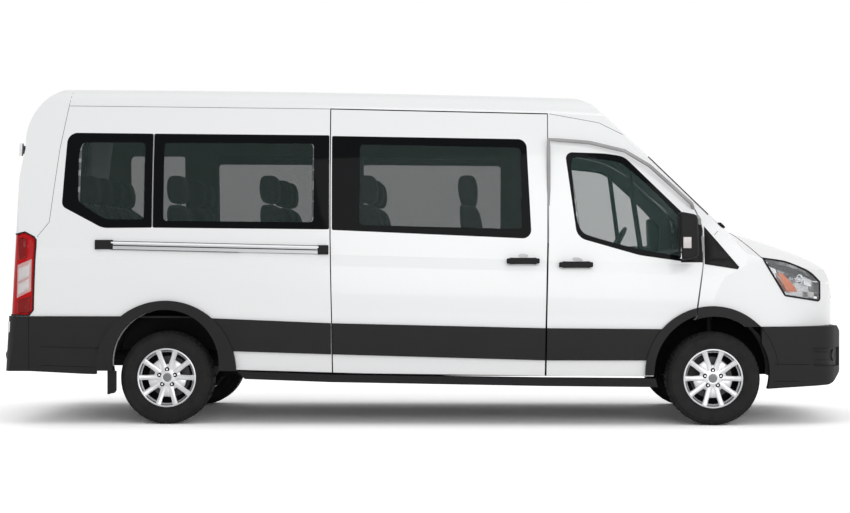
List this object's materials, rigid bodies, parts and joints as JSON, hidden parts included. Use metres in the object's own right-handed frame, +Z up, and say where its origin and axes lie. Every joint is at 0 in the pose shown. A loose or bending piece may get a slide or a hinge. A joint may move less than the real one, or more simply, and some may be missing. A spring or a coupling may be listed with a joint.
{
  "type": "minibus",
  "caption": "White mid-roof passenger van with side sliding door, hinged front and rear doors, opening bonnet, steered front wheels and seat rows.",
  "frame": {"origin": "on the ground, midway between the bumpers and between the sides", "axes": "+X forward, +Y to the vehicle's left, +Z up"},
  "size_m": [6.0839, 2.534, 2.4435],
  "materials": {
    "body_paint": "white gloss paint",
    "black_plastic": "grained dark plastic",
    "tinted_glass": "tinted",
    "clear_glass": "light tint",
    "lamp_clear": "clear lens",
    "lamp_red": "red lens",
    "rubber": "plain",
    "rail_metal": "satin",
    "chassis_steel": "satin black paint",
    "cast_metal": "as cast",
    "seat_fabric": "woven grey",
    "tyre": "black rubber",
    "alloy": "silver painted"
  },
  "bodies": {
    "body": {"roof_panel": "body_paint", "side_panel_right": "body_paint", "side_panel_left": "body_paint", "rear_frame": "body_paint", "cab_frame": "body_paint", "wing_right": "body_paint", "wing_left": "body_paint", "front_fascia": "body_paint", "sliding_door": "body_paint", "side_trim": "black_plastic", "sills": "black_plastic", "front_bumper": "black_plastic", "rear_bumper": "black_plastic", "grille": "black_plastic", "sliding_door_trim": "black_plastic", "wipers": "black_plastic", "dashboard": "black_plastic", "steering_wheel": "black_plastic", "side_glass_right": "tinted_glass", "side_glass_left": "tinted_glass", "sliding_door_glass": "tinted_glass", "windscreen": "clear_glass", "headlamps": "lamp_clear", "tail_lamps": "lamp_red", "mud_flaps": "rubber", "slide_rail": "rail_metal", "floor_pan": "chassis_steel", "chassis_frame": "chassis_steel", "front_subframe": "chassis_steel", "rear_axle": "chassis_steel", "fuel_tank": "chassis_steel", "exhaust": "chassis_steel", "seat_legs": "chassis_steel", "engine_block": "cast_metal", "front_seats": "seat_fabric", "passenger_seats": "seat_fabric"},
    "front_door_right": {"front_door_right": "body_paint", "front_door_right_glass": "clear_glass", "front_door_right_trim": "black_plastic", "front_door_right_mirror": "black_plastic"},
    "front_door_left": {"front_door_left": "body_paint", "front_door_left_glass": "clear_glass", "front_door_left_trim": "black_plastic", "front_door_left_mirror": "black_plastic"},
    "rear_door_right": {"rear_door_right": "body_paint", "rear_door_right_glass": "tinted_glass"},
    "rear_door_left": {"rear_door_left": "body_paint", "rear_door_left_glass": "tinted_glass"},
    "bonnet": {"bonnet": "body_paint"},
    "knuckle_right": {"knuckle_right": "cast_metal"},
    "knuckle_left": {"knuckle_left": "cast_metal"},
    "wheel_front_right": {"tyre_front_right": "tyre", "rim_front_right": "alloy"},
    "wheel_front_left": {"tyre_front_left": "tyre", "rim_front_left": "alloy"},
    "wheel_rear_right": {"tyre_rear_right": "tyre", "rim_rear_right": "alloy"},
    "wheel_rear_left": {"tyre_rear_left": "tyre", "rim_rear_left": "alloy"}
  },
  "joints": [
    {"name": "steer_right", "type": "hinge", "parent": "body", "child": "knuckle_right", "pos_m": [2.055, -0.735, 0.333], "axis": [0, 0, 1], "range_deg": [-32, 32]},
    {"name": "wheel_front_right_spin", "type": "hinge", "parent": "knuckle_right", "child": "wheel_front_right", "pos_m": [2.055, -0.867, 0.333], "axis": [0, 1, 0], "continuous": true},
    {"name": "wheel_rear_right_spin", "type": "hinge", "parent": "body", "child": "wheel_rear_right", "pos_m": [-1.86, -0.867, 0.333], "axis": [0, 1, 0], "continuous": true},
    {"name": "steer_left", "type": "hinge", "parent": "body", "child": "knuckle_left", "pos_m": [2.055, 0.735, 0.333], "axis": [0, 0, 1], "range_deg": [-32, 32]},
    {"name": "wheel_front_left_spin", "type": "hinge", "parent": "knuckle_left", "child": "wheel_front_left", "pos_m": [2.055, 0.867, 0.333], "axis": [0, 1, 0], "continuous": true},
    {"name": "wheel_rear_left_spin", "type": "hinge", "parent": "body", "child": "wheel_rear_left", "pos_m": [-1.86, 0.867, 0.333], "axis": [0, 1, 0], "continuous": true},
    {"name": "front_door_right_hinge", "type": "hinge", "parent": "body", "child": "front_door_right", "pos_m": [1.992, -1.037, 0.35], "axis": [0, 0.03, 0.9996], "range_deg": [0, 70]},
    {"name": "front_door_left_hinge", "type": "hinge", "parent": "body", "child": "front_door_left", "pos_m": [1.992, 1.037, 0.35], "axis": [0, 0.03, -0.9996], "range_deg": [0, 70]},
    {"name": "rear_door_right_hinge", "type": "hinge", "parent": "body", "child": "rear_door_right", "pos_m": [-2.995, -0.893, 0.784], "axis": [0.0559, 0, 0.9984], "range_deg": [0, 120]},
    {"name": "rear_door_left_hinge", "type": "hinge", "parent": "body", "child": "rear_door_left", "pos_m": [-2.995, 0.893, 0.784], "axis": [-0.0559, 0, -0.9984], "range_deg": [0, 120]},
    {"name": "bonnet_hinge", "type": "hinge", "parent": "body", "child": "bonnet", "pos_m": [2.235, 0, 1.397], "axis": [0, -1, 0], "range_deg": [0, 50]}
  ],
  "couplings": [
    {"joint": "steer_left", "follows": "steer_right", "ratio": 1}
  ]
}
